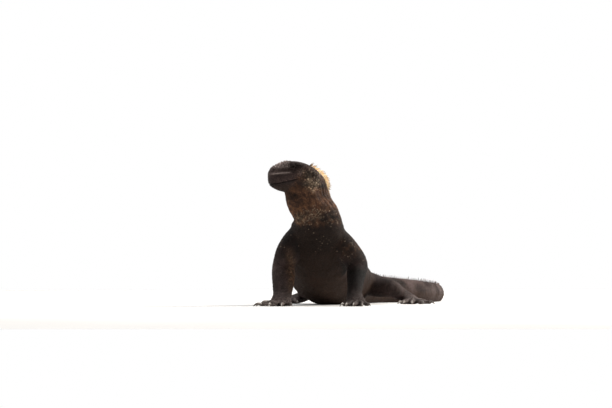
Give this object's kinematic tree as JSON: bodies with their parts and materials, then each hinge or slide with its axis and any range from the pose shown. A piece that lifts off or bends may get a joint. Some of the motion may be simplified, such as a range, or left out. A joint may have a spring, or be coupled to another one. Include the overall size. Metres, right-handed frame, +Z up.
{
  "type": "marine iguana",
  "caption": "Life-size still model of a marine iguana sitting up on straight forelegs, head turned to its right, with a spiny crest and a long tail laid on the ground.",
  "frame": {"origin": "middle of the footprint's bounding box, on the ground", "axes": "+Z up; the animal faces -Y with its left side at +X, and its tail runs back along +Y"},
  "size_m": [0.2654, 0.698, 0.1907],
  "materials": {
    "head_skin": "dry knobbly scales, dark grey-brown",
    "neck_skin": "small granular scales, rusty and golden brown",
    "body_skin": "small granular scales, dark grey-brown with pale specks on the chest",
    "tail_skin": "ringed keeled scales, grey-brown",
    "limb_skin": "granular scales, dark grey",
    "paw_skin": "plated scales, light grey",
    "crest_horn": "horn spines, cream and golden with dark tips",
    "claw_horn": "dark polished horn",
    "eye": "wet, dark brown"
  },
  "bodies": {
    "root": {"head": "head_skin", "eye_left": "eye", "eye_right": "eye", "neck": "neck_skin", "chest": "body_skin", "belly": "body_skin", "pelvis": "body_skin", "tail_1": "tail_skin", "tail_2": "tail_skin", "tail_3": "tail_skin", "tail_4": "tail_skin", "tail_5": "tail_skin", "upper_arm_left": "limb_skin", "upper_arm_right": "limb_skin", "forearm_left": "limb_skin", "forearm_right": "limb_skin", "hand_left": "paw_skin", "hand_right": "paw_skin", "thigh_left": "limb_skin", "thigh_right": "limb_skin", "shin_left": "limb_skin", "shin_right": "limb_skin", "foot_left": "paw_skin", "foot_right": "paw_skin"}
  },
  "joints": []
}
